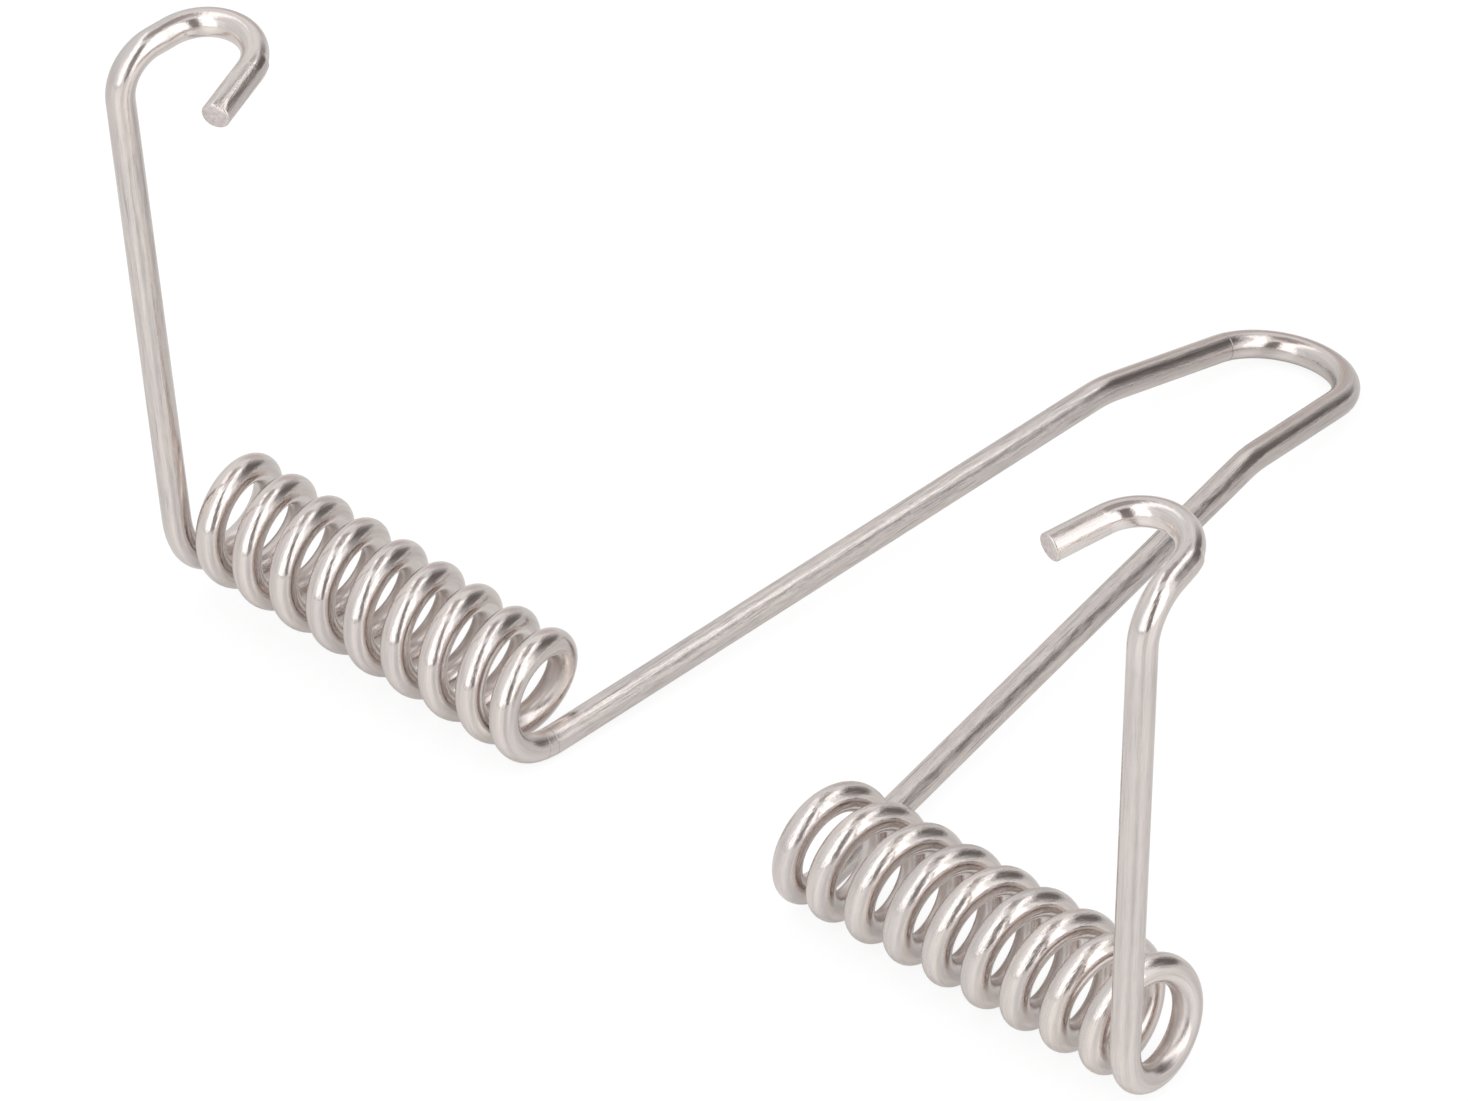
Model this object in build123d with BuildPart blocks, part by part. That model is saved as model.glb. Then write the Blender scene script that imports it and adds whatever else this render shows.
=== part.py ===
from build123d import *
from math import ceil, cos, pi, radians, sin, sqrt, tan
import os

# Luggage carrier spring: one length of round spring wire, bent into two coils of opposite
# hand, a bail that joins their inner ends, and an arm with a hook at each outer end.
# X runs along the coils from left to right, Y goes back along the bail and Z is up.
# The origin is on the coils' axis, half way between the two coils.
# All sizes are in millimetres and all angles in degrees.

# Wire, and what it is bent to fit
wire_diameter = 4.0
rod_diameter = 10.0
rod_clearance = 0.4
rail_diameter = 10.0

# Coils: the end turns lie closer than the others by their closing
coil_gap = 44.8
coil_turns = 9
coil_pitch = 6.8
arm_end_closing = 1.0
bail_end_closing = 1.2
# The wire leaves its round path this far before the front and the bottom of the coil
arm_release_angle = 25.5
bail_release_angle = 13.0
# A hand-bent spring isn't quite in line: how far each coil's outer end rises and swings back
left_coil_rise = 3.4
left_coil_swing = 1.7
right_coil_rise = 0.5
right_coil_swing = -3.5

# Arms: they lean forward, and spread as they rise
arm_foot_radius = 13.0
arm_lean = 4.0
arm_spread = 5.4
arm_run = 69.0

# Hooks: each turns back over its arm, then round the rail and in
hook_top_radius = 6.5
hook_neck_turn_in = 9.5
hook_neck_rise = 8.7
hook_neck_run = 2.9
hook_turn = 155.6
# The wire is sheared off by eye, so one tip is longer than the other
left_tip_run = 9.4
right_tip_run = 8.2

# Bail: two long legs that draw together, then a nose that dips to its round end
leg_foot_radius = 12.0
leg_turn_in = 5.9
leg_rise = 3.2
leg_run = 101.5
nose_bend_radius = 19.0
nose_turn_in = 6.4
nose_rise = -10.0
nose_run = 20.8

# Angles around a coil's axis, counted from its back over its top
coil_front = 180
coil_bottom = 270
full_turn = 360
# A coil's path is laid as arcs of at most this angle, each tangent to the next
largest_coil_arc = 90

# Sizes that follow
coil_radius = (rod_diameter + rod_clearance + wire_diameter) / 2
hook_radius = (rail_diameter + wire_diameter) / 2
arm_end_angle = coil_front + arm_release_angle
bail_end_angle = coil_bottom - bail_release_angle + full_turn * coil_turns


def direction(frame, right, back, up):
    """A unit vector given by its shares along a frame's three axes."""
    return (frame.x_dir * right + frame.y_dir * back + frame.z_dir * up).normalized()


def sloped(frame, hand, turn_in, rise):
    """A heading that goes back, turned in towards the middle and raised."""
    level = cos(radians(rise))
    inward = -hand * sin(radians(turn_in)) * level
    back = cos(radians(turn_in)) * level
    return direction(frame, inward, back, sin(radians(rise)))


def feed(start, heading, length):
    """Run the wire straight on, and return where it ends."""
    end = start + heading * length
    Line(start, end)
    return end


def bend(start, heading, new_heading, radius):
    """Bend the wire to a new heading, and return where the bend ends."""
    setback = radius * tan(radians(heading.get_angle(new_heading)) / 2)
    end = start + (heading + new_heading) * setback
    TangentArc(start, end, tangent=heading)
    return end


def join(start, heading, end, end_heading):
    """Join two headings with two arcs that are tangent where they meet."""
    gap = end - start
    both = heading + end_heading
    spare = 2 * (1 - heading.dot(end_heading))
    along = gap.dot(both)
    reach = (sqrt(along**2 + spare * gap.dot(gap)) - along) / spare
    corner = start + heading * reach
    end_corner = end - end_heading * reach
    middle = (corner + end_corner) * 0.5
    TangentArc(start, middle, tangent=heading)
    TangentArc(middle, end, tangent=end_corner - corner)


def coil_frame(hand, rise, swing):
    """The plane at a coil's inner end, with X along its axis from left to right."""
    outward_level = cos(radians(rise))
    axis = Vector(
        outward_level * cos(radians(swing)),
        hand * outward_level * sin(radians(swing)),
        hand * sin(radians(rise)),
    )
    back = Vector(0, 0, 1).cross(axis).normalized()
    return Plane(origin=(hand * coil_gap / 2, 0, 0), x_dir=axis, z_dir=axis.cross(back))


def coil_station(frame, hand, angle):
    """A point of a coil's centreline and its heading, at an angle around the axis."""
    turns_to_bail = (bail_end_angle - angle) / full_turn
    turns_to_arm = (angle - arm_end_angle) / full_turn
    last_turn = max(0, 1 - turns_to_bail)
    first_turn = max(0, 1 - turns_to_arm)
    closed = bail_end_closing * last_turn**2 - arm_end_closing * first_turn**2
    local_pitch = coil_pitch - 2 * (bail_end_closing * last_turn + arm_end_closing * first_turn)
    back = coil_radius * cos(radians(angle))
    up = coil_radius * sin(radians(angle))
    point = frame.from_local_coords((hand * (coil_pitch * turns_to_bail + closed), back, up))
    heading = direction(frame, -hand * local_pitch / (2 * pi), -up, back)
    return point, heading


def coil(frame, hand):
    """Wind one coil, and return its two ends with their headings towards the bail."""
    sweep_angle = bail_end_angle - arm_end_angle
    steps = ceil(sweep_angle / largest_coil_arc)
    stations = [
        coil_station(frame, hand, arm_end_angle + sweep_angle * step / steps)
        for step in range(steps + 1)
    ]
    for (start, heading), (end, end_heading) in zip(stations, stations[1:]):
        join(start, heading, end, end_heading)
    return stations[0], stations[-1]


def arm_and_hook(frame, hand, tip_run, start, heading):
    """Bend an arm and its hook from a coil's outer end, and return the tip and its heading."""
    lean, spread = radians(arm_lean), radians(arm_spread)
    arm = direction(frame, hand * sin(spread), -cos(spread) * sin(lean), cos(spread) * cos(lean))
    arm_start = bend(start, heading, arm, arm_foot_radius)
    arm_top = feed(arm_start, arm, arm_run)
    neck = sloped(frame, hand, hook_neck_turn_in, hook_neck_rise)
    neck_start = bend(arm_top, arm, neck, hook_top_radius)
    neck_end = feed(neck_start, neck, hook_neck_run)
    inward = frame.x_dir * -hand
    across = (inward - neck * inward.dot(neck)).normalized()
    tip = neck * cos(radians(hook_turn)) + across * sin(radians(hook_turn))
    tip_start = bend(neck_end, neck, tip, hook_radius)
    return feed(tip_start, tip, tip_run), tip


def half_bail(hand, start, heading):
    """Bend a leg of the bail and its side of the nose, and return where it ends."""
    leg = sloped(Plane.XY, hand, leg_turn_in, leg_rise)
    leg_start = bend(start, heading, leg, leg_foot_radius)
    leg_end = feed(leg_start, leg, leg_run)
    nose = sloped(Plane.XY, hand, nose_turn_in, nose_rise)
    nose_start = bend(leg_end, leg, nose, nose_bend_radius)
    return feed(nose_start, nose, nose_run), nose


def side(hand, rise, swing, tip_run):
    """Bend one side of the spring, and return its hook tip and its end of the nose."""
    frame = coil_frame(hand, rise, swing)
    (arm_end, arm_heading), (bail_end, bail_heading) = coil(frame, hand)
    tip = arm_and_hook(frame, hand, tip_run, arm_end, arm_heading * -1)
    nose = half_bail(hand, bail_end, bail_heading)
    return tip, nose


# The whole wire: its centreline, its round section at one tip, and the sweep
with BuildPart() as spring_wire:
    with BuildLine() as centreline:
        (left_tip, left_tip_heading), (left_nose, left_heading) = side(
            -1, left_coil_rise, left_coil_swing, left_tip_run
        )
        _, (right_nose, right_heading) = side(
            1, right_coil_rise, right_coil_swing, right_tip_run
        )
        join(left_nose, left_heading, right_nose, right_heading * -1)
    with BuildSketch(Plane(origin=left_tip, z_dir=left_tip_heading)) as section:
        Circle(wire_diameter / 2)
    sweep()
spring_wire.part.label = "spring_wire"

os.makedirs("parts", exist_ok=True)
export_step(spring_wire.part, "parts/spring_wire.step")

wire_length = sum(edge.length for edge in centreline.edges())
section_area = section.sketch.area
print(f"wire length {wire_length:.1f} mm, volume {spring_wire.part.volume:.1f} mm3")
print(f"volume over section times length {spring_wire.part.volume / (section_area * wire_length):.6f}")
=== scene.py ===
# %% [markdown]
# # A luggage carrier spring, bent from one wire
# The object is a single length of bright spring wire. It is wound into two coils, and it runs on
# from them as a long bail at the back and as two upright arms with hooks. Nothing is fitted to it,
# so the whole look comes from two things: a wire that is truly round and truly bent, and a steel
# that mirrors a studio.
#
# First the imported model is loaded. It is the frame that everything here has to agree with.

# %% Load the frame
from math import ceil, cos, pi, radians, sin, sqrt, tan

import bpy
from mathutils import Matrix, Vector


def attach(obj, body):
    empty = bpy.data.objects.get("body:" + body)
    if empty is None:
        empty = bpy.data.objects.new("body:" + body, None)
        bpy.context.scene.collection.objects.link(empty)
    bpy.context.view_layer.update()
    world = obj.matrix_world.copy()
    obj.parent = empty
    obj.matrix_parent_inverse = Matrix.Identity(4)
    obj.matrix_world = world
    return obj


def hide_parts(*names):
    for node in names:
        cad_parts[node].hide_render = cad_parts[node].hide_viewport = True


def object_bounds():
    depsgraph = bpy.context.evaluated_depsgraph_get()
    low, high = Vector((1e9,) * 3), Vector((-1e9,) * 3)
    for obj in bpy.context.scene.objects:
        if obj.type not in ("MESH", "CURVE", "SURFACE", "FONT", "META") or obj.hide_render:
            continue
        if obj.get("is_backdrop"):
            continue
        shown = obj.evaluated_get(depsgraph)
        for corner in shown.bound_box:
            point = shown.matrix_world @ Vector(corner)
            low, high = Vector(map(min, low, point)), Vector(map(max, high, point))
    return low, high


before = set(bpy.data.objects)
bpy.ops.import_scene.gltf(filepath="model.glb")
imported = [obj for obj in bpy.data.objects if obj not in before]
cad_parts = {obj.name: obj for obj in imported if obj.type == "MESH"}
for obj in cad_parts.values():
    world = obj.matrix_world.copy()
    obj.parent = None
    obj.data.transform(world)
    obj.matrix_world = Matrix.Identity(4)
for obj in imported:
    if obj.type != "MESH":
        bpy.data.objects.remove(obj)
cad_low, cad_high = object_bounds()
print("the frame's box", [round(v, 4) for v in (*cad_low, *cad_high)])

# %% [markdown]
# ## The wire's sizes
# A wire bender works from a short list: the wire, how tight each bend is, how far it turns and how
# long the straight feed between two bends is. The same list serves here. Lengths are written in
# millimetres times `mm`, because Blender's unit is the metre, and turns are in degrees. The two
# halves of the spring are told apart by their hand, which is -1 on the left and 1 on the right.

# %% Sizes of the wire, the coils, the arms, the hooks and the bail
mm = 0.001
full_turn = 360
left_hand, right_hand = -1, 1

wire_radius = 2.0 * mm
coil_radius = 7.2 * mm
coil_gap = 44.8 * mm
coil_turns = 9
coil_pitch = 6.8 * mm
arm_end_closing = 1.0 * mm
bail_end_closing = 1.2 * mm
# Angles around a coil's axis count from its back over its top. The wire leaves its round path
# a little before it reaches the front at one end, and the bottom at the other.
coil_front, coil_bottom = 180, 270
arm_end_angle = coil_front + 25.5
bail_end_angle = coil_bottom - 13.0 + full_turn * coil_turns
# How far each coil's outer end rises, and how far it swings back
coil_lie = {left_hand: (3.4, 1.7), right_hand: (0.5, -3.5)}

arm_foot_radius = 13.0 * mm
arm_lean = 4.0
arm_spread = 5.4
arm_run = 69.0 * mm

hook_radius = 7.0 * mm
hook_top_radius = 6.5 * mm
hook_neck_turn_in = 9.5
hook_neck_rise = 8.7
hook_neck_run = 2.9 * mm
hook_turn = 155.6
hook_tip_run = {left_hand: 9.4 * mm, right_hand: 8.2 * mm}

leg_foot_radius = 12.0 * mm
leg_turn_in = 5.9
leg_rise = 3.2
leg_run = 101.5 * mm
nose_bend_radius = 19.0 * mm
nose_turn_in = 6.4
nose_rise = -10.0
nose_run = 20.8 * mm

# %% [markdown]
# ## The wire's route
# A bent wire is only straight runs and round bends, and each bend starts in the direction in which
# the last run ended. So a list of points is enough to describe it: between two points the wire is
# straight if its heading already points at the next one, and otherwise it is the one arc that
# leaves along the heading and arrives there. The helpers below add the points of a run and of a
# bend, and the headings are ordinary unit vectors.

# %% Headings, runs and bends
level_axes = (Vector((1, 0, 0)), Vector((0, 1, 0)), Vector((0, 0, 1)))


def direction(axes, right, back, up):
    """A unit vector given by its shares along three axes."""
    return (axes[0] * right + axes[1] * back + axes[2] * up).normalized()


def sloped(axes, hand, turn_in, rise):
    """A heading that goes back, turned in towards the middle and raised."""
    level = cos(radians(rise))
    inward = -hand * sin(radians(turn_in)) * level
    return direction(axes, inward, cos(radians(turn_in)) * level, sin(radians(rise)))


def feed(points, heading, length):
    """Run the wire straight on."""
    points.append(points[-1] + heading * length)


def bend(points, heading, new_heading, radius):
    """Bend the wire to a new heading."""
    setback = radius * tan(heading.angle(new_heading) / 2)
    points.append(points[-1] + (heading + new_heading) * setback)


def join(points, heading, end, end_heading):
    """Join two headings with two arcs that are tangent where they meet."""
    gap = end - points[-1]
    both = heading + end_heading
    spare = 2 * (1 - heading.dot(end_heading))
    along = gap.dot(both)
    reach = (sqrt(along**2 + spare * gap.dot(gap)) - along) / spare
    corner = points[-1] + heading * reach
    end_corner = end - end_heading * reach
    points.append((corner + end_corner) * 0.5)
    points.append(end)


# %% [markdown]
# The coils are wound by a loop. Each station lies on a helix whose end turns are a little closer
# than the rest, and two tangent arcs join it to the next. A loose spring never lies quite in line,
# so each coil has its own slight rise and swing, which the photograph shows clearly.

# %% The coils' stations
largest_station_step = 90


def coil_axes(hand):
    """A coil's axes: along it from left to right, back, and up."""
    rise, swing = (radians(angle) for angle in coil_lie[hand])
    along = Vector((cos(rise) * cos(swing), hand * cos(rise) * sin(swing), hand * sin(rise)))
    back = level_axes[2].cross(along).normalized()
    return along, back, along.cross(back)


def coil_station(axes, hand, angle):
    """A point of a coil's centreline and its heading, at an angle around the axis."""
    turns_to_bail = (bail_end_angle - angle) / full_turn
    turns_to_arm = (angle - arm_end_angle) / full_turn
    last_turn = max(0, 1 - turns_to_bail)
    first_turn = max(0, 1 - turns_to_arm)
    closed = bail_end_closing * last_turn**2 - arm_end_closing * first_turn**2
    local_pitch = coil_pitch - 2 * (bail_end_closing * last_turn + arm_end_closing * first_turn)
    along = hand * (coil_pitch * turns_to_bail + closed)
    back = coil_radius * cos(radians(angle))
    up = coil_radius * sin(radians(angle))
    centre = Vector((hand * coil_gap / 2, 0, 0))
    point = centre + axes[0] * along + axes[1] * back + axes[2] * up
    return point, direction(axes, -hand * local_pitch / (2 * pi), -up, back)


def coil_points(axes, hand):
    """The points of one coil from its arm to the bail, with its first and last headings."""
    sweep_angle = bail_end_angle - arm_end_angle
    steps = ceil(sweep_angle / largest_station_step)
    first, heading = coil_station(axes, hand, arm_end_angle)
    points, first_heading = [first], heading
    for step in range(1, steps + 1):
        end, end_heading = coil_station(axes, hand, arm_end_angle + sweep_angle * step / steps)
        join(points, heading, end, end_heading)
        heading = end_heading
    return points, first_heading, heading


# %% [markdown]
# An arm leaves the coil's front and climbs to its hook, and a leg of the bail leaves the coil's
# bottom and runs back to the nose. One side is put together from the hook's tip to the nose.

# %% The arms, the hooks and the bail
def arm_points(axes, hand, start, heading):
    """The points from a coil's outer end to the tip of its hook, and the tip's heading."""
    lean, spread = radians(arm_lean), radians(arm_spread)
    arm = direction(axes, hand * sin(spread), -cos(spread) * sin(lean), cos(spread) * cos(lean))
    points = [start]
    bend(points, heading, arm, arm_foot_radius)
    feed(points, arm, arm_run)
    neck = sloped(axes, hand, hook_neck_turn_in, hook_neck_rise)
    bend(points, arm, neck, hook_top_radius)
    feed(points, neck, hook_neck_run)
    inward = axes[0] * -hand
    across = (inward - neck * inward.dot(neck)).normalized()
    tip = neck * cos(radians(hook_turn)) + across * sin(radians(hook_turn))
    bend(points, neck, tip, hook_radius)
    feed(points, tip, hook_tip_run[hand])
    return points, tip


def bail_points(hand, start, heading):
    """The points from a coil's inner end to the middle of the nose, and the heading there."""
    leg = sloped(level_axes, hand, leg_turn_in, leg_rise)
    nose = sloped(level_axes, hand, nose_turn_in, nose_rise)
    points = [start]
    bend(points, heading, leg, leg_foot_radius)
    feed(points, leg, leg_run)
    bend(points, leg, nose, nose_bend_radius)
    feed(points, nose, nose_run)
    return points, nose


def side(hand):
    """One side's points from its hook's tip to its end of the nose, and both headings there."""
    axes = coil_axes(hand)
    coil, first_heading, last_heading = coil_points(axes, hand)
    arm, tip = arm_points(axes, hand, coil[0], -first_heading)
    bail, nose = bail_points(hand, coil[-1], last_heading)
    return arm[::-1] + coil[1:] + bail[1:], -tip, nose


# %% [markdown]
# The two sides meet at the back of the nose, where two more arcs join them. The right side is
# taken the other way round, so that the route can be followed from one tip of the wire to the
# other. The steel's marks belong to some pieces of the wire only, so the numbers of the points
# where these start and end are noted here. A negative number counts back from the route's end.

# %% The whole route
route, first_heading, left_nose = side(left_hand)
right_side, _, right_nose = side(right_hand)
left_leg_end = len(route) - 3
join(route, left_nose, right_side[-1], -right_nose)
right_leg_end = len(route) + 1
route += right_side[-2::-1]
left_hook_start, left_arm_foot = 1, 5
right_arm_foot, right_arm_top, right_hook_start, right_hook_end = -6, -5, -3, -2
print("points on the wire's route:", len(route))

# %% [markdown]
# ## Bending the wire
# The wire could be a curve with a round bevel, but a curve turns its section as it likes, and the
# fine lines that the drawing die leaves would twist with it. So it is made as a bending machine
# makes it. A circle of the wire's size is set at the tip, a straight run is an extrusion, and a
# bend is a spin about the bend's own centre. The section never twists, and its points stay in
# lines along the wire just as the die's marks do. Blender's spin turns against the right-hand
# rule, so it is given the negative angle.

# %% Extrude and spin one stretch of the wire
section_sides = 40
largest_spin_step = radians(6)
largest_feed_step = 4 * mm
# The hooks and the tips are shaped further down, so they are made in finer steps
hook_turns_over = radians(150)
tip_feed_step = 0.4 * mm
# A heading that points as closely as this at the next point needs no bend
straight_within = radians(0.03)


def spin_bend(heading, start, chord):
    """Spin the last ring round a bend, and return its heading, length and outward directions."""
    turn = 2 * heading.angle(chord)
    axis = heading.cross(chord).normalized()
    bend_radius = chord.length / (2 * sin(turn / 2))
    centre = start + axis.cross(heading) * bend_radius
    steps = ceil(turn / largest_spin_step) * (2 if turn > hook_turns_over else 1)
    bpy.ops.mesh.spin(steps=steps, angle=-turn, center=centre, axis=axis)
    outward = (start - centre).normalized()
    step_turn = Matrix.Rotation(turn / steps, 3, axis)
    outwards = [outward]
    for _ in range(steps):
        outwards.append(step_turn @ outwards[-1])
    return Matrix.Rotation(turn, 3, axis) @ heading, bend_radius * turn, outwards


def extrude_run(chord, largest_step):
    """Extrude the last ring along a straight run, in short steps."""
    steps = max(2, ceil(chord.length / largest_step))
    for _ in range(steps):
        bpy.ops.mesh.extrude_region_move(TRANSFORM_OT_translate={"value": chord / steps})
    return steps


def make_stretch(heading, points, rings, travel_at):
    """Make the wire between some points of its route, and note each ring's travel and bend."""
    for start, end in zip(points, points[1:]):
        travel = rings[-1][0]
        if heading.angle(end - start) < straight_within:
            is_tip = start == route[0] or end == route[-1]
            steps = extrude_run(end - start, tip_feed_step if is_tip else largest_feed_step)
            length = (end - start).length
            outwards = [Vector()] * (steps + 1)
        else:
            heading, length, outwards = spin_bend(heading, start, end - start)
            steps = len(outwards) - 1
            rings[-1] = (travel, outwards[0])
        rings += [(travel + length * step / steps, outwards[step]) for step in range(1, steps + 1)]
        travel_at.append(rings[-1][0])
    return heading


# %% [markdown]
# Operators slow down as the mesh grows, so the wire is made in stretches of a few bends. The last
# ring of a stretch is copied and separated, and it becomes the first ring of the next. The loop
# starts from one circle that faces along the wire's first heading.

# %% Make the stretches
points_in_stretch = 10


def separate_last_ring(obj):
    """Copy the selected last ring into an object of its own, ready to go on from."""
    bpy.ops.mesh.duplicate()
    bpy.ops.mesh.separate(type="SELECTED")
    bpy.ops.object.mode_set(mode="OBJECT")
    ring = next(other for other in bpy.context.selected_objects if other != obj)
    bpy.ops.object.select_all(action="DESELECT")
    bpy.context.view_layer.objects.active = ring
    ring.select_set(True)
    bpy.ops.object.mode_set(mode="EDIT")
    bpy.ops.mesh.select_all(action="SELECT")
    return ring


bpy.ops.object.select_all(action="DESELECT")
bpy.ops.mesh.primitive_circle_add(
    vertices=section_sides,
    radius=wire_radius,
    fill_type="NOTHING",
    location=route[0],
    rotation=first_heading.to_track_quat("Z", "Y").to_euler(),
)
bpy.ops.object.transform_apply(location=True, rotation=True, scale=True)
bpy.ops.object.mode_set(mode="EDIT")
bpy.ops.mesh.select_all(action="SELECT")

stretches = []
travel_at = [0.0]
heading = first_heading
travel, outward = 0.0, Vector()
part = bpy.context.object
for first in range(0, len(route) - 1, points_in_stretch):
    rings = [(travel, outward)]
    points = route[first : first + points_in_stretch + 1]
    heading = make_stretch(heading, points, rings, travel_at)
    travel, outward = rings[-1]
    following = separate_last_ring(part)
    stretches.append((part, rings))
    part = following
bpy.ops.object.mode_set(mode="OBJECT")
bpy.data.objects.remove(part)
last_heading = heading
print("stretches", len(stretches), "wire length in mm", round(travel / mm, 1))

# %% [markdown]
# ## What the surface needs to know
# The steel's grain follows the wire round every bend, so the material needs to know how far along
# the wire a point is and where it lies round the section. That is a UV map: U goes once round the
# wire, and V is the distance along it in metres. In the last column of faces U has to end at 1 and
# not at 0, or the whole pattern would be squeezed into that column, backwards.

# %% Map the stretches
def ring_points(mesh, ring):
    """The points of one ring, and the ring's centre."""
    points = mesh.vertices[ring * section_sides : (ring + 1) * section_sides]
    return points, sum((point.co for point in points), Vector()) / section_sides


def map_stretch(mesh, rings):
    """Write U round the wire and V along it."""
    uv_map = mesh.uv_layers.new(name="along_wire")
    for loop in mesh.loops:
        ring, column = divmod(loop.vertex_index, section_sides)
        uv_map.data[loop.index].uv = (column / section_sides, rings[ring][0])
    for face in mesh.polygons:
        columns = [mesh.loops[index].vertex_index % section_sides for index in face.loop_indices]
        if max(columns) - min(columns) == section_sides - 1:
            for index, column in zip(face.loop_indices, columns):
                if column == 0:
                    uv_map.data[index].uv.x = 1.0


for part, rings in stretches:
    map_stretch(part.data, rings)
print("mapped faces", sum(len(part.data.polygons) for part, _ in stretches))

# %% [markdown]
# Not all of the wire was treated alike, so four records are kept on its points:
#
# - `worked` is 1 where the wire slid over a steel tool, which is on every bend, and 0 on the legs.
#   The arms, the tips and the nose's runs were only gripped, so they lie between. The right arm
#   is the smoothest of them, and the die's lines hardly show on it.
# - `outside` is 1 on the outside of a bend, -1 on its inside and 0 on a straight run. The press
#   further down uses it.
# - `rubbed` marks the crests of the coils' turns, which rub on whatever the spring lies on. The
#   right coil has lain on its side more, so its crests are marked more than the left coil's.
# - `dull` marks the inside of the coils' turns, which nothing burnished, and, more faintly, the
#   tips and the right leg, whose surface is a little scuffed from end to end. Both arms and the
#   left hook are satin, so they have a little of it too.

# %% Record how the wire was worked
grip_working = 0.5
satin_working = 0.8
scuffed_dullness = 0.45
satin_dullness = 0.22
left_rubbing, right_rubbing = 0.5, 1.0
# How fast a turn grows dull towards its inside, and how much of that is held back
dullness_rise, dullness_delay = 1.6, 0.5


def crest_rubbing(travel):
    """How much the crests are rubbed at some travel."""
    return right_rubbing if travel > travel_at[right_leg_end] else left_rubbing


def inside_dullness(outwardness):
    """How dull a turn of a coil is: 0 on its outside and its sides, rising to 1 on its inside."""
    return max(0, min(1, -dullness_rise * outwardness - dullness_delay))


def record_working(mesh, rings):
    """Record on every point how the wire was worked there."""
    names = ("worked", "outside", "rubbed", "dull")
    for name in names:
        mesh.attributes.new(name=name, type="FLOAT", domain="POINT")
    worked, outside, rubbed, dull = (mesh.attributes[name].data for name in names)
    for ring, (travel, outward) in enumerate(rings):
        is_nose = travel_at[left_leg_end] <= travel <= travel_at[right_leg_end]
        is_arm_or_hook = not travel_at[left_arm_foot] < travel < travel_at[right_arm_foot]
        is_tip = not travel_at[left_hook_start] < travel < travel_at[right_hook_end]
        is_right_leg = travel_at[right_leg_end] < travel < travel_at[right_leg_end + 2]
        is_left_arm_or_hook = travel_at[left_hook_start] <= travel < travel_at[left_arm_foot]
        is_right_arm = travel_at[right_arm_foot] < travel < travel_at[right_arm_top]
        is_coil_or_leg = not (is_nose or is_arm_or_hook)
        gripped = satin_working if is_right_arm else grip_working * (not is_coil_or_leg)
        points, centre = ring_points(mesh, ring)
        for point in points:
            outwardness = outward.dot(point.co - centre) / wire_radius
            worked[point.index].value = max(outward.length, gripped)
            outside[point.index].value = outwardness
            if is_coil_or_leg:
                rubbed[point.index].value = crest_rubbing(travel) * max(0, 2 * outwardness - 1)
            if is_right_leg or is_tip:
                dull[point.index].value = scuffed_dullness
            elif is_left_arm_or_hook or is_right_arm:
                dull[point.index].value = satin_dullness
            elif is_coil_or_leg:
                dull[point.index].value = inside_dullness(outwardness)


for part, rings in stretches:
    record_working(part.data, rings)
print("points with records", sum(len(part.data.vertices) for part, _ in stretches))

# %% [markdown]
# ## Marks of the bending tools
# The hooks were pressed round a peg with some force. The outside of the bend is flattened by about
# a fifth of a millimetre, and where the tool's edge was, the full round wire stands up as a small
# ledge. It is far too fine for the route, so here the points on the outside of a bend are pushed
# in, deepest at the ledge and less and less away from it.

# %% Press the hooks
ledge_depth = 0.22 * mm
ledge_past_start = 2.1 * mm
press_length = 9 * mm


def press_bend(ledge, toward_end):
    """Flatten the outside of a bend from a ledge at some travel, towards one end of the wire."""
    moved = 0
    for part, rings in stretches:
        for ring, (at, outward) in enumerate(rings):
            past = (at - ledge) * toward_end
            if not 0 <= past <= press_length or outward.length == 0:
                continue
            fade = 0.5 + 0.5 * cos(pi * past / press_length)
            outside = part.data.attributes["outside"].data
            points, _ = ring_points(part.data, ring)
            for point in points:
                share = outside[point.index].value
                if share > 0:
                    point.co -= outward * ledge_depth * fade * share**2
                    moved += 1
    return moved


left_ledge = travel_at[left_hook_start] + ledge_past_start
right_ledge = travel_at[right_hook_start] + ledge_past_start
print("points pressed", press_bend(left_ledge, 1), press_bend(right_ledge, 1))

# %% [markdown]
# A shear cut the wire to length, and left both faces a few degrees out of square. On the left tip
# its blade also pressed a small flat on the wire before the steel gave way. So the last points are
# slid along the wire, more on one side than on the other, which keeps the face plane, and those
# that stand above the blade's flat are pressed down to it. The level of the flat is a share of the
# wire's radius, and at 1 there is none.

# %% Press and skew the cut ends
cut_length = 2.4 * mm
left_blade_level, right_blade_level = 0.84, 1.0
cut_skew = tan(radians(-5))
cut_lean = Vector((0.77, 0.64, 0))
blade_side = Vector((0.45, -0.5, 0.74))


def shape_cut(part, rings, end_travel, outward_heading, blade_level):
    """Press the blade's flat on a cut end, and skew its face."""
    moved = 0
    blade = (blade_side - outward_heading * outward_heading.dot(blade_side)).normalized()
    for ring, (at, _) in enumerate(rings):
        from_end = abs(at - end_travel)
        if from_end > cut_length:
            continue
        near = 1 - from_end / cut_length
        level = 1 - (1 - blade_level) * near**2
        points, centre = ring_points(part.data, ring)
        for point in points:
            side_way = (point.co - centre) / wire_radius
            pressed = max(0, side_way.dot(blade) - level)
            slide = side_way.dot(cut_lean) * cut_skew * near
            point.co += (outward_heading * slide - blade * pressed) * wire_radius
            moved += 1
    return moved


left_part, left_rings = stretches[0]
right_part, right_rings = stretches[-1]
left_cut = shape_cut(left_part, left_rings, 0, -first_heading, left_blade_level)
right_cut = shape_cut(right_part, right_rings, travel_at[-1], last_heading, right_blade_level)
print("points at the cuts", left_cut, right_cut)

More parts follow.
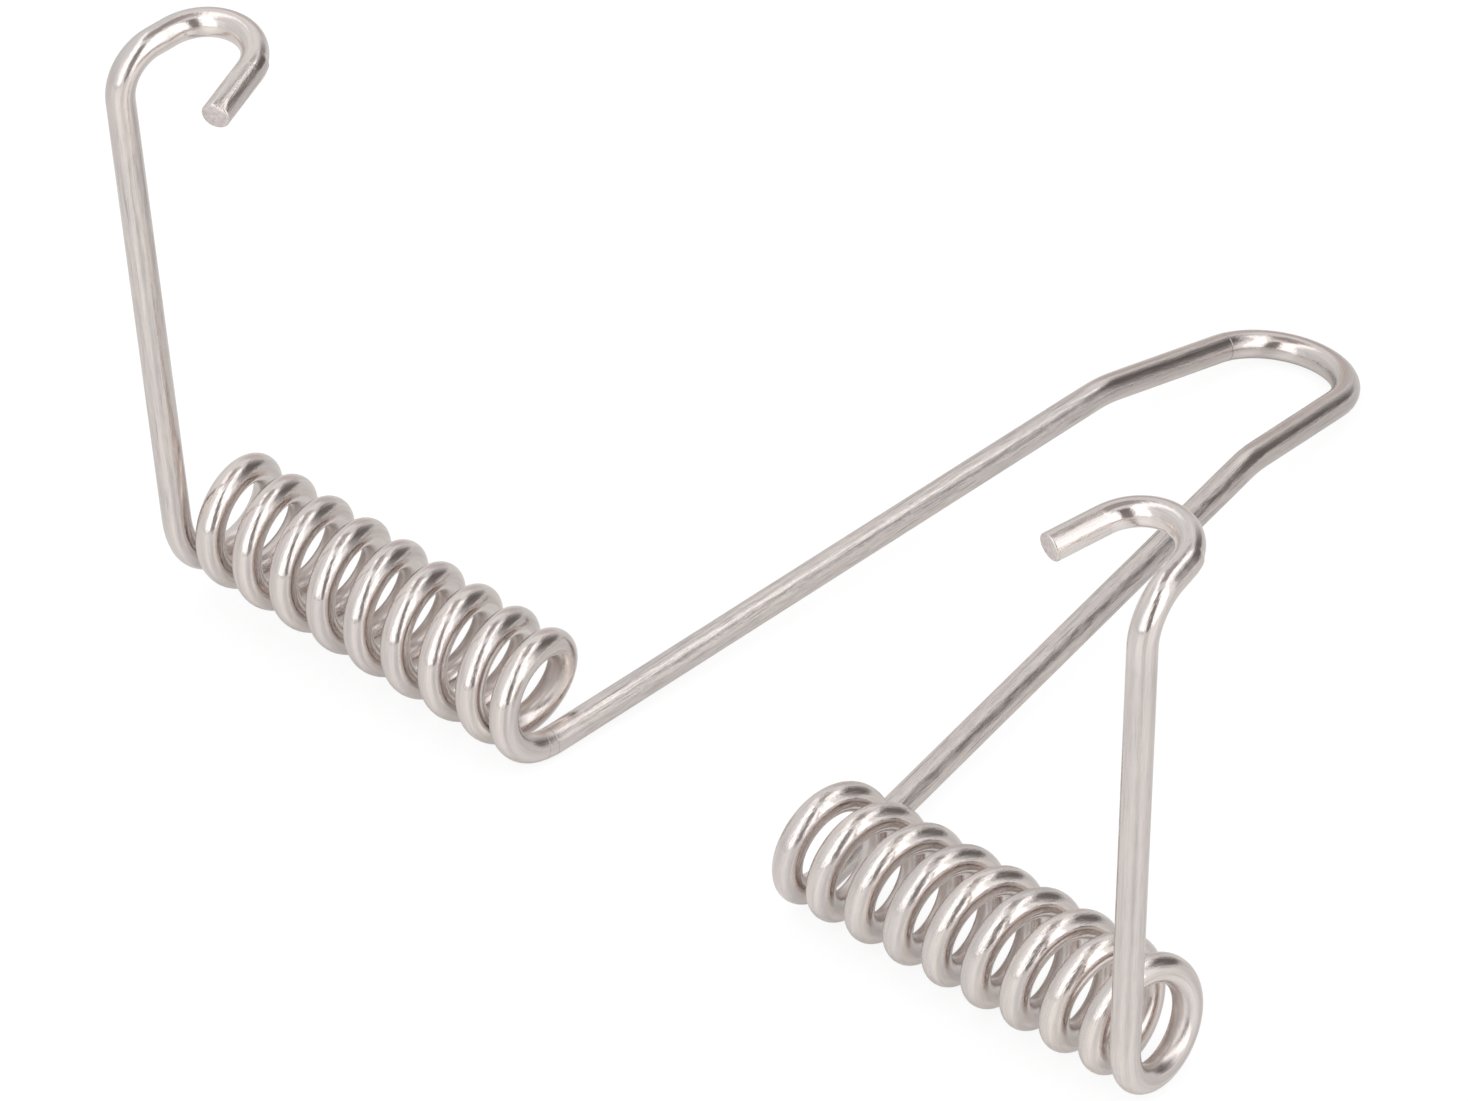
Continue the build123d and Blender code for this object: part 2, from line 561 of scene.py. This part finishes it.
# %% [markdown]
# The stretches are joined, and the doubled rings between them are merged. The wire was sheared
# off, so each end is filled with a flat face. A narrow bevel gives the face the rounded rim that
# the steel gets when finished springs tumble against each other.

# %% Join the stretches and close the ends
rim_width = 0.3 * mm
rim_steps = 3
largest_gap = 0.01 * mm
smooth_below = radians(40)

bpy.ops.object.select_all(action="DESELECT")
for part, _ in stretches:
    part.select_set(True)
wire = stretches[0][0]
wire.name = "bent_wire"
bpy.context.view_layer.objects.active = wire
bpy.ops.object.join()
bpy.ops.object.mode_set(mode="EDIT")
bpy.ops.mesh.select_all(action="SELECT")
bpy.ops.mesh.remove_doubles(threshold=largest_gap)
bpy.ops.mesh.select_all(action="DESELECT")
bpy.ops.mesh.select_non_manifold(extend=False)
bpy.ops.mesh.edge_face_add()
bpy.ops.mesh.region_to_loop()
bpy.ops.mesh.bevel(offset=rim_width, segments=rim_steps, affect="EDGES")
bpy.ops.mesh.select_all(action="SELECT")
bpy.ops.mesh.normals_make_consistent(inside=False)
bpy.ops.object.mode_set(mode="OBJECT")
bpy.ops.object.shade_smooth_by_angle(angle=smooth_below)
print("faces", len(wire.data.polygons), "vertices", len(wire.data.vertices))

# %% [markdown]
# ## Helpers for the materials
# A node tree is clearer in code when each step is one line. So a few helpers add a node, set its
# numbers on its own sockets and return what comes out of it.

# %% Helpers that add nodes
def new_material(name):
    """A new material and its node tree."""
    material = bpy.data.materials.new(name)
    material.use_nodes = True
    return material, material.node_tree


def new_metal(name):
    """A new metal, its node tree and its shader."""
    material, tree = new_material(name)
    shader = tree.nodes["Principled BSDF"]
    shader.inputs["Metallic"].default_value = 1.0
    return material, tree, shader


def add_node(tree, kind, **values):
    """Add a node, and set its properties and its inputs by name."""
    node = tree.nodes.new(kind)
    for key, value in values.items():
        if key in node.inputs:
            node.inputs[key].default_value = value
        else:
            setattr(node, key, value)
    return node


def add_math(tree, operation, first, second=0.0):
    """Add a math node whose inputs are sockets or numbers."""
    node = tree.nodes.new("ShaderNodeMath")
    node.operation = operation
    for socket, value in zip(node.inputs, (first, second)):
        if isinstance(value, (int, float)):
            socket.default_value = value
        else:
            tree.links.new(value, socket)
    return node.outputs[0]


def add_range(tree, value, low, high, new_low=0.0, new_high=1.0):
    """Map a value smoothly from one range to another, and hold it at the ends."""
    node = add_node(tree, "ShaderNodeMapRange", interpolation_type="SMOOTHSTEP")
    for name, limit in zip(("From Min", "From Max", "To Min", "To Max"), (low, high, new_low, new_high)):
        node.inputs[name].default_value = limit
    tree.links.new(value, node.inputs["Value"])
    return node.outputs["Result"]


def add_split(tree, vector):
    """Take a vector apart, and return its X, Y and Z."""
    node = tree.nodes.new("ShaderNodeSeparateXYZ")
    tree.links.new(vector, node.inputs[0])
    return node.outputs


def object_place(tree):
    """The X, Y and Z of a point in its object's own coordinates."""
    return add_split(tree, tree.nodes.new("ShaderNodeTexCoord").outputs["Object"])


def wire_place(tree):
    """Where a point lies on the wire: X once round it, and Y the metres along it."""
    return add_split(tree, add_node(tree, "ShaderNodeUVMap", uv_map="along_wire").outputs["UV"])


def add_tint(tree, factor, first, second):
    """Mix two colours by a factor."""
    node = add_node(tree, "ShaderNodeMix", data_type="RGBA", A=first, B=second)
    tree.links.new(factor, node.inputs["Factor"])
    return node.outputs["Result"]


def add_bump(tree, shader, height, distance):
    """Tilt a shader's normal by a height, whose 1 stands for the given distance."""
    bump = add_node(tree, "ShaderNodeBump", Strength=1.0, Distance=distance)
    tree.links.new(height, bump.inputs["Height"])
    tree.links.new(bump.outputs["Normal"], shader.inputs["Normal"])


# %% [markdown]
# ## The drawn surface
# Spring wire gets its size by being pulled through a die, and the die leaves fine lines that run
# the whole length of the wire. They are what breaks up the edges of its reflections. A stretched
# noise makes them, but it has to close on itself round the wire. So U is turned into a point on a
# circle of the wire's own radius, and V becomes the height above that circle, squeezed so that the
# marks grow long. The steel needs such marks at five scales, from streaks of two centimetres to
# grain of half a millimetre, so the effect is a node group with three inputs.

# %% A group for marks that follow the wire
marks = bpy.data.node_groups.new("marks_along_wire", "ShaderNodeTree")
for name in ("Marks per mm", "Length", "Detail"):
    marks.interface.new_socket(name, in_out="INPUT", socket_type="NodeSocketFloat")
marks.interface.new_socket("Marks", in_out="OUTPUT", socket_type="NodeSocketFloat")
group_in = marks.nodes.new("NodeGroupInput")
group_out = marks.nodes.new("NodeGroupOutput")
place = wire_place(marks)
angle = add_math(marks, "MULTIPLY", place["X"], 2 * pi)
wire_radius_mm = wire_radius / mm
across = add_math(marks, "MULTIPLY", add_math(marks, "COSINE", angle), wire_radius_mm)
upward = add_math(marks, "MULTIPLY", add_math(marks, "SINE", angle), wire_radius_mm)
along_mm = add_math(marks, "MULTIPLY", place["Y"], 1 / mm)
squeezed = add_math(marks, "DIVIDE", along_mm, group_in.outputs["Length"])
point = marks.nodes.new("ShaderNodeCombineXYZ")
for socket, value in zip(point.inputs, (across, upward, squeezed)):
    marks.links.new(value, socket)
noise = add_node(marks, "ShaderNodeTexNoise", Roughness=0.6)
marks.links.new(point.outputs[0], noise.inputs["Vector"])
marks.links.new(group_in.outputs["Marks per mm"], noise.inputs["Scale"])
marks.links.new(group_in.outputs["Detail"], noise.inputs["Detail"])
marks.links.new(noise.outputs["Fac"], group_out.inputs["Marks"])
print("group", marks.name, "with", len(marks.nodes), "nodes")


def add_marks(tree, marks_per_mm, length, detail):
    """Add the group with its own values, and return the marks."""
    node = tree.nodes.new("ShaderNodeGroup")
    node.node_tree = marks
    for socket, value in zip(node.inputs, (marks_per_mm, length, detail)):
        socket.default_value = value
    return node.outputs["Marks"]


# %% [markdown]
# Some marks belong to one place along the wire. Where the forming tool let go of the nose it left
# a fine crease across the wire, and the tool that bent the left leg's foot left two weaker ones.
# The creases are cut into the relief, and their colour is darkened as painted shade.
# The whole nose is also a shade darker than the rest, and the right arm a little. All of them are
# bands: V tells how far a point is from the band's middle, and noise makes the band's edge a
# little ragged.

# %% Bands across the wire
raggedness = 0.3 * mm
# In a long band, the shares of its half length where it starts to fade and where it has faded
fade_start, fade_end = 0.9, 1.05


def add_band(tree, travel, flat, reach):
    """1 up to a flat distance from some travel along the wire, then fading to 0 at its reach."""
    along = add_math(tree, "SUBTRACT", wire_place(tree)["Y"], travel)
    ragged = add_math(tree, "MULTIPLY", add_marks(tree, 2.0, 1.0, 2.0), raggedness)
    away = add_math(tree, "ABSOLUTE", add_math(tree, "ADD", along, ragged))
    return add_range(tree, away, flat, reach, 1.0, 0.0)


def add_long_band(tree, start, end):
    """1 between two places along the wire, fading to 0 at both of them."""
    middle, half = (start + end) / 2, (end - start) / 2
    return add_band(tree, middle, fade_start * half, fade_end * half)


nose_start, nose_end = travel_at[left_leg_end], travel_at[right_leg_end]
arm_start, arm_end = travel_at[right_arm_foot], travel_at[right_arm_top]
nose_crease = travel_at[left_leg_end + 2] + 1.3 * mm
foot_start = travel_at[left_leg_end - 2]
foot_marks = (foot_start + 0.9 * mm, foot_start + 2.5 * mm)
for name, at in (("nose from", nose_start), ("nose to", nose_end), ("crease at", nose_crease)):
    print(name, round(at / mm, 1), "mm along the wire")

# %% [markdown]
# ## The steel
# Bright spring wire mirrors the room, slightly blurred, in a warm grey. On the straight runs the
# die's lines blur it more, and a few fine dark scores run far along the wire. The bends slid round
# steel tools, so they are burnished and mirror more sharply. So the roughness, the scores and the
# depth of the lines follow `worked`, and `dull` adds roughness where nothing rubbed the wire.
#
# The tint and the roughness change only a little over the surface. Everything bright or dark that
# the eye sees on the wire is the studio, bent by the wire's roundness.
#
# A noise keeps mostly between 0.3 and 0.7. So a range round 0.5 turns it into a soft pattern, and
# a range near its top picks out a few marks, as it does for the scores.

# %% The marks on the spring steel
crease_reach, foot_mark_reach = 0.14 * mm, 0.12 * mm
foot_mark_strength = 0.6

steel, tree, shader = new_metal("drawn_spring_steel")
worked, dull, rubbed = (
    add_node(tree, "ShaderNodeAttribute", attribute_name=name).outputs["Fac"]
    for name in ("worked", "dull", "rubbed")
)
# Marks per millimetre round the wire, how many times longer than wide they are, and their detail
long_streaks = add_marks(tree, 1.3, 30.0, 3.0)
die_lines = add_marks(tree, 3.5, 12.0, 5.0)
ripples = add_marks(tree, 1.1, 4.0, 3.0)
grain = add_marks(tree, 4.5, 2.5, 2.0)
scores = add_marks(tree, 5.0, 60.0, 2.0)
scuffs = add_math(tree, "MULTIPLY", add_range(tree, grain, 0.42, 0.58), rubbed)
crease = add_band(tree, nose_crease, 0.0, crease_reach)
for foot_mark in foot_marks:
    band = add_band(tree, foot_mark, 0.0, foot_mark_reach)
    weaker = add_math(tree, "MULTIPLY", band, foot_mark_strength)
    crease = add_math(tree, "MAXIMUM", crease, weaker)
print("nodes for the marks", len(tree.nodes))

# %% [markdown]
# The colour is a warm grey that wanders a little with the long streaks. It is darkened in four
# steps: by the die's lines, by the scores, by painted shade in the creases, and by darker bands
# over the nose and the right arm. Burnished steel keeps only a part of its lines and scores.

# %% The steel's colour
line_darkness, burnished_lines = 0.22, 0.35
score_darkness, burnished_scores = 0.5, 0.08
# How bright the creases' colour stays under their painted shade
crease_painted_shade = 0.5
nose_brightness = 0.91
arm_darkening = 0.65
brightest = 1.05

tint = add_range(tree, long_streaks, 0.38, 0.62)
tint = add_tint(tree, tint, (0.685, 0.637, 0.622, 1), (0.772, 0.706, 0.671, 1))
lines = add_range(tree, die_lines, 0.3, 0.6, line_darkness, 0.0)
lines_left = add_range(tree, worked, 0.0, 1.0, 1.0, burnished_lines)
shade = add_math(tree, "SUBTRACT", brightest, add_math(tree, "MULTIPLY", lines, lines_left))
score_depth = add_range(tree, worked, 0.0, 1.0, score_darkness, burnished_scores)
scored = add_math(tree, "MULTIPLY", add_range(tree, scores, 0.61, 0.69), score_depth)
# The nose's colour is darker over its whole length, and the right arm's a little
darker_arm = add_math(tree, "MULTIPLY", add_long_band(tree, arm_start, arm_end), arm_darkening)
darker_band = add_math(tree, "MAXIMUM", add_long_band(tree, nose_start, nose_end), darker_arm)
for darkening in (
    add_math(tree, "SUBTRACT", 1.0, scored),
    add_range(tree, crease, 0.0, 1.0, 1.0, crease_painted_shade),
    add_range(tree, darker_band, 0.0, 1.0, 1.0, nose_brightness),
):
    shade = add_math(tree, "MULTIPLY", shade, darkening)
lined = add_node(tree, "ShaderNodeMix", data_type="RGBA", blend_type="MULTIPLY", Factor=1.0)
tree.links.new(tint, lined.inputs["A"])
tree.links.new(shade, lined.inputs["B"])
tree.links.new(lined.outputs["Result"], shader.inputs["Base Color"])
print("nodes with the colour", len(tree.nodes))

# %% [markdown]
# The roughness follows the die's lines. Burnishing takes most of it away, and dull places and
# scuffs add to it.

# %% The steel's roughness
smoothest, roughest = 0.14, 0.26
burnished_share = 0.35
dull_roughness = 0.26
scuff_roughness = 0.2

blur = add_range(tree, die_lines, 0.38, 0.62, smoothest, roughest)
blur_left = add_range(tree, worked, 0.0, 1.0, 1.0, burnished_share)
rough = add_math(tree, "MULTIPLY", blur, blur_left)
rough = add_math(tree, "ADD", rough, add_math(tree, "MULTIPLY", dull, dull_roughness))
rough = add_math(tree, "ADD", rough, add_math(tree, "MULTIPLY", scuffs, scuff_roughness))
tree.links.new(rough, shader.inputs["Roughness"])
print("nodes with the roughness", len(tree.nodes))

# %% [markdown]
# In the relief, a height of 1 stands for a twentieth of a millimetre. The lines and the ripples
# stand out less where the wire was worked, the grain stands out more where it was rubbed, and the
# creases are cut into it.

# %% The steel's relief
relief_height = 0.052 * mm
burnished_depth = 0.4
ripple_share = 0.8
plain_grain, rubbed_grain = 0.3, 0.75
crease_depth = 0.6

depth = add_range(tree, worked, 0.0, 1.0, 1.0, burnished_depth)
rippled = add_math(tree, "ADD", die_lines, add_math(tree, "MULTIPLY", ripples, ripple_share))
height = add_math(tree, "MULTIPLY", rippled, depth)
grain_height = add_range(tree, rubbed, 0.0, 1.0, plain_grain, rubbed_grain)
height = add_math(tree, "ADD", height, add_math(tree, "MULTIPLY", grain, grain_height))
height = add_math(tree, "SUBTRACT", height, add_math(tree, "MULTIPLY", crease, crease_depth))
add_bump(tree, shader, height, relief_height)
print("steel nodes", len(tree.nodes))

# %% [markdown]
# The shear tears the last of the steel, so a cut face is dull and finely grained, with no lines
# along it. Its grain is a plain noise in the object's own coordinates.

# %% The cut ends
grains_per_mm = 2.2
torn_relief_height = 0.06 * mm

torn, tree, shader = new_metal("sheared_steel")
noise = add_node(tree, "ShaderNodeTexNoise", Scale=grains_per_mm / mm, Detail=4.0, Roughness=0.7)
tree.links.new(tree.nodes.new("ShaderNodeTexCoord").outputs["Object"], noise.inputs["Vector"])
grain = noise.outputs["Fac"]
fresh = add_range(tree, grain, 0.35, 0.65)
fresh = add_tint(tree, fresh, (0.62, 0.562, 0.550, 1), (0.81, 0.742, 0.726, 1))
tree.links.new(fresh, shader.inputs["Base Color"])
tree.links.new(add_range(tree, grain, 0.3, 0.7, 0.36, 0.52), shader.inputs["Roughness"])
add_bump(tree, shader, grain, torn_relief_height)
print("nodes for the cut ends", len(tree.nodes))

# %% [markdown]
# The cut faces are the only ones with more than four corners, which is how they are told from the
# others. Then the frame's own wire is hidden, and the new wire is tied to the root body.

# %% Dress the wire
corners_on_the_side = 4

wire.data.materials.clear()
wire.data.materials.append(steel)
wire.data.materials.append(torn)
for face in wire.data.polygons:
    face.material_index = 1 if len(face.vertices) > corners_on_the_side else 0
print("faces with the torn steel", sum(face.material_index for face in wire.data.polygons))
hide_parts("spring_wire")
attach(wire, "root")

# %% [markdown]
# ## The studio
# Metal shows the room more than itself, so the room matters as much as the steel. It is a product
# studio: a pale floor, one tall soft box in front and one at the right with a darker gap between
# them, two soft boxes overhead, and a dark room behind. A reflection on the wire can be traced
# back to the part of the room that it comes from, and that is how each of them got its place.
#
# The floor has three faces, which Light Path tells apart. The camera sees it as white, with a faint
# shadow under the spring, and would see it so through anything clear as well. The steel mirrors a
# satin floor that is greyer, has painted shade in its glow towards the back left, where the dark
# room is, and shines a little at a low angle. And the lamps' light comes back from it as from white
# paper.

# %% Helpers that join shaders
def add_shaders(tree, first, second):
    """Add two shaders' light together."""
    both = tree.nodes.new("ShaderNodeAddShader")
    tree.links.new(first.outputs[0], both.inputs[0])
    tree.links.new(second.outputs[0], both.inputs[1])
    return both


def choose(tree, factor, first, second):
    """Show the second shader where the factor is 1."""
    choice = tree.nodes.new("ShaderNodeMixShader")
    tree.links.new(factor, choice.inputs[0])
    tree.links.new(first.outputs[0], choice.inputs[1])
    tree.links.new(second.outputs[0], choice.inputs[2])
    return choice


def show(tree, shader):
    """Give a material a shader in place of the one that it came with."""
    tree.nodes.remove(tree.nodes["Principled BSDF"])
    tree.links.new(shader.outputs[0], tree.nodes["Material Output"].inputs["Surface"])


# %% [markdown]
# The floor lies just where the lowest turn touches it, so the spring stands on it.

# %% Floor
floor_size = 16
# How far back and left of the origin the floor's painted shade starts, and where it is full
shade_starts, shade_is_full = -0.12, 0.12
front_glow, back_glow = 0.325, 0.25

bpy.ops.object.select_all(action="DESELECT")
bpy.ops.mesh.primitive_plane_add(size=floor_size, location=(0, 0, cad_low.z))
floor = bpy.context.object
floor.name = "floor"
floor_paint, tree = new_material("floor_white")
glow = add_node(tree, "ShaderNodeEmission", Color=(1, 1, 1, 1), Strength=0.865)
shadowed = add_node(tree, "ShaderNodeBsdfDiffuse", Color=(0.17, 0.17, 0.17, 1))
white = add_shaders(tree, glow, shadowed)

place = object_place(tree)
back_left = add_math(tree, "SUBTRACT", place["Y"], place["X"])
# The satin floor's glow is dimmed towards the back left as painted shade
strength = add_range(tree, back_left, shade_starts, shade_is_full, front_glow, back_glow)
satin_glow = add_node(tree, "ShaderNodeEmission", Color=(1, 0.99, 0.975, 1))
tree.links.new(strength, satin_glow.inputs["Strength"])
satin_shade = add_node(tree, "ShaderNodeBsdfDiffuse", Color=(0.30, 0.297, 0.291, 1))
satin_gloss = add_node(tree, "ShaderNodeBsdfGlossy", Color=(0.26, 0.26, 0.26, 1), Roughness=0.35)
satin = add_shaders(tree, add_shaders(tree, satin_glow, satin_shade), satin_gloss)

paper = add_node(tree, "ShaderNodeBsdfDiffuse", Color=(0.8, 0.8, 0.8, 1))
ray = tree.nodes.new("ShaderNodeLightPath").outputs
seen = add_math(tree, "MAXIMUM", ray["Is Camera Ray"], ray["Is Transmission Ray"])
lit = choose(tree, ray["Is Glossy Ray"], paper, satin)
show(tree, choose(tree, seen, lit, white))
floor.data.materials.append(floor_paint)
floor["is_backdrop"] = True
print("floor at mm", round(cad_low.z / mm, 2), "nodes", len(tree.nodes))

# %% [markdown]
# A soft box is an area lamp. Two of them stand upright, because the edges of an upright box keep
# their bearing at every height, and the wire shows those edges as clean lines. Each has a weak
# glow beside it, for the light that spills past its edge. Two more boxes hang overhead and face
# the object. Azimuths are bearings round the object in degrees, and each box is given by the angles
# that it covers, seen from the middle of the object, because angles are what a mirror shows.

# %% Soft boxes
subject = Vector((0.0, 0.045, 0.03))
lamp_distance = 1.2


def toward(azimuth, elevation):
    """A direction: azimuth 0 is the front and 90 the right, elevation is above the floor."""
    a, e = radians(azimuth), radians(elevation)
    return Vector((sin(a) * cos(e), -cos(a) * cos(e), sin(e)))


def add_lamp(name, location, way, width, height, radiance):
    """A rectangular lamp that the camera doesn't see, with its back to the given way."""
    rotation = way.to_track_quat("Z", "Y").to_euler()
    bpy.ops.object.light_add(type="AREA", location=location, rotation=rotation)
    lamp = bpy.context.object
    lamp.name = name
    lamp.data.shape = "RECTANGLE"
    lamp.data.size = width
    lamp.data.size_y = height
    lamp.data.energy = radiance * pi * width * height
    lamp.visible_camera = False
    print(name, "metres", round(width, 2), "by", round(height, 2), "watts", round(lamp.data.energy, 1))


def standing_box(name, azimuth, wide, low, high, radiance):
    """A box that stands upright, between two elevations."""
    way = toward(azimuth, 0)
    width = 2 * lamp_distance * tan(radians(wide / 2))
    bottom, top = (lamp_distance * tan(radians(elevation)) for elevation in (low, high))
    location = subject + way * lamp_distance + Vector((0, 0, (bottom + top) / 2))
    add_lamp(name, location, way, width, top - bottom, radiance)


def hanging_box(name, azimuth, elevation, wide, tall, radiance):
    """A box overhead that faces the object and covers the given angles."""
    way = toward(azimuth, elevation)
    width, height = (2 * lamp_distance * tan(radians(angle / 2)) for angle in (wide, tall))
    add_lamp(name, subject + way * lamp_distance, way, width, height, radiance)


# Each box's name, azimuth, width, lowest and highest edge, and radiance
standing_box("left_box", 13, 35, 3, 71, 0.82)
standing_box("left_glow", -15, 22, 3, 55, 0.1)
standing_box("right_box", 82, 38, -2, 58, 0.78)
standing_box("right_glow", 109, 18, -2, 50, 0.22)
# Each box's name, azimuth, elevation, width, height and radiance
hanging_box("over_left", -54, 73, 62, 18, 0.62)
hanging_box("over_right", 132, 65, 40, 16, 0.75)

# %% [markdown]
# Round metal on a white floor would be almost invisible if everything round it were white. The
# dark lines that draw the wire are the unlit back of the room. Lamps can't darken, so cards stand
# in for it. Only the steel's reflections see them, and their edges fade out, because out there
# nothing ends as sharply as a lamp does. A card is a plane whose shader goes from clear to dim.

# %% A card with soft edges
# A card has a size of 1 before it is scaled, and it is quite clear this far from its middle
clear_from = 0.48


def soft_card(name, way, distance, wide, tall, brightness, fade_wide, fade_tall):
    """A dark card with soft edges that only the steel's reflections see."""
    bpy.ops.object.select_all(action="DESELECT")
    bpy.ops.mesh.primitive_plane_add(size=1)
    card = bpy.context.object
    card.name = name
    card.scale = (wide, tall, 1)
    card.location = subject + way * distance
    card.rotation_euler = way.to_track_quat("Z", "Y").to_euler()
    paint, tree = new_material(name)
    place = object_place(tree)
    sideways = add_math(tree, "ABSOLUTE", place["X"])
    upright = add_math(tree, "ABSOLUTE", place["Y"])
    solid = add_math(
        tree,
        "MULTIPLY",
        add_range(tree, sideways, fade_wide, clear_from, 1.0, 0.0),
        add_range(tree, upright, fade_tall, clear_from, 1.0, 0.0),
    )
    clear = tree.nodes.new("ShaderNodeBsdfTransparent")
    dim = add_node(tree, "ShaderNodeEmission", Color=(1, 0.91, 0.88, 1), Strength=brightness)
    show(tree, choose(tree, solid, clear, dim))
    card.data.materials.append(paint)
    card.visible_camera = False
    card.visible_diffuse = False
    card.visible_shadow = False
    card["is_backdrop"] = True


# %% [markdown]
# The room behind is the darkest, a grey wall closes it on the left, the gap between the two front
# boxes is dim, and so is the ceiling towards the back left.

# %% Dark cards
# Each card's name, direction, distance, width, height, brightness, and where its fading starts
soft_card("dark_room", toward(153, 25), 1.6, 2.95, 1.8, 0.17, 0.05, 0.25)
soft_card("grey_wall", toward(-146, 12), 0.7, 0.7, 0.5, 0.62, 0.1, 0.2)
soft_card("dark_gap", toward(49, 25), 1.1, 0.60, 2.2, 0.27, 0.25, 0.4)
soft_card("dark_ceiling", toward(-144, 76), 1.1, 0.62, 0.84, 0.43, 0.3, 0.36)

# %% [markdown]
# Everything else is a pale room, a little darker near the horizon than overhead.

# %% World
horizon_light, overhead_light = 0.73, 0.86
# The height of a direction, from 0 at the horizon to 1 straight up, where it is fully light
fully_light_from = 0.75

world = bpy.data.worlds.new("white_room")
world.use_nodes = True
tree = world.node_tree
way = add_split(tree, tree.nodes.new("ShaderNodeTexCoord").outputs["Generated"])
wall_light = add_range(tree, way["Z"], 0.0, fully_light_from, horizon_light, overhead_light)
tree.links.new(wall_light, tree.nodes["Background"].inputs["Strength"])
tree.nodes["Background"].inputs["Color"].default_value = (1, 1, 1, 1)
bpy.context.scene.world = world
print("world", world.name, "nodes", len(tree.nodes))

# %% [markdown]
# ## The camera
# The photograph was taken from the front right and from well above, with a long lens. A long bent
# wire of one thickness leaves little choice: the runs and bends seen in the picture fit the wire's
# sizes from one place only. The rotation is put together from the bearing, the tilt and a slight
# roll.

# %% Camera
camera_azimuth = 40.312
camera_elevation = 35.652
camera_roll = -0.383
camera_distance = 1413.4 * mm
camera_aim = Vector((60.78, -60.79, 96.70)) * mm
# The focal length in pixels, for a picture of this width
photo_width = 1468
focal_pixels = 11722
sensor_width = 36
farthest_seen = 50

camera_data = bpy.data.cameras.new("camera")
camera = bpy.data.objects.new("camera", camera_data)
bpy.context.scene.collection.objects.link(camera)
camera_data.sensor_width = sensor_width
camera_data.lens = focal_pixels / photo_width * sensor_width
camera_data.clip_end = farthest_seen
camera.location = camera_aim + toward(camera_azimuth, camera_elevation) * camera_distance
camera.rotation_mode = "QUATERNION"
camera.rotation_quaternion = (
    Matrix.Rotation(radians(camera_azimuth), 3, "Z")
    @ Matrix.Rotation(radians(90 - camera_elevation), 3, "X")
    @ Matrix.Rotation(radians(camera_roll), 3, "Z")
).to_quaternion()
bpy.context.scene.camera = camera
bpy.context.scene.view_settings.view_transform = "Standard"
print("lens in mm", round(camera_data.lens, 1), "camera at", [round(v, 3) for v in camera.location])

# %% [markdown]
# ## Check the size
# The finished spring has to fill the frame's box and stay inside it, so its box is measured and
# how far each side lies from the frame's is printed.

# %% Compare the boxes
bpy.context.view_layer.update()
new_low, new_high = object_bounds()
growth = [*(new_low - cad_low), *(new_high - cad_high)]
print("growth in mm", [round(value / mm, 2) for value in growth])
